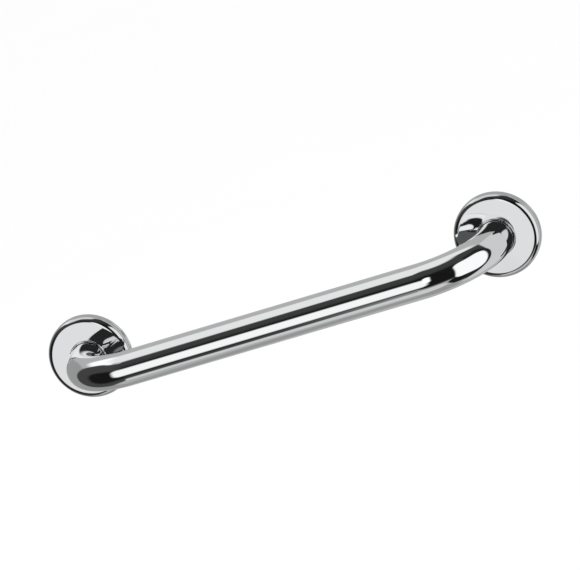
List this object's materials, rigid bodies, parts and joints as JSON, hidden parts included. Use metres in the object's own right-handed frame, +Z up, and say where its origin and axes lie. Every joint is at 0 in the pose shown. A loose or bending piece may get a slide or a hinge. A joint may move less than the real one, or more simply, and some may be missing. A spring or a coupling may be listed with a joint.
{
  "type": "grab bar",
  "caption": "Straight wall grab bar: a round tube bent into a leg at each end, welded to a plate for wall screws under a round push-on cover.",
  "frame": {"origin": "on the wall plane, midway between the centres of the two feet", "axes": "+X along the bar, +Y into the wall, +Z up the wall"},
  "size_m": [0.478, 0.096, 0.078],
  "materials": {
    "polished_chrome_tube": "chromed, mirror polished",
    "polished_chrome_cover": "pressed, chromed, mirror polished",
    "plate_steel": "rolled and deburred, matt",
    "weld_steel": "as welded"
  },
  "bodies": {
    "root": {"rail_tube": "polished_chrome_tube", "left_mounting_plate": "plate_steel", "left_weld_bead": "weld_steel", "left_cover": "polished_chrome_cover", "right_mounting_plate": "plate_steel", "right_weld_bead": "weld_steel", "right_cover": "polished_chrome_cover"}
  },
  "joints": []
}
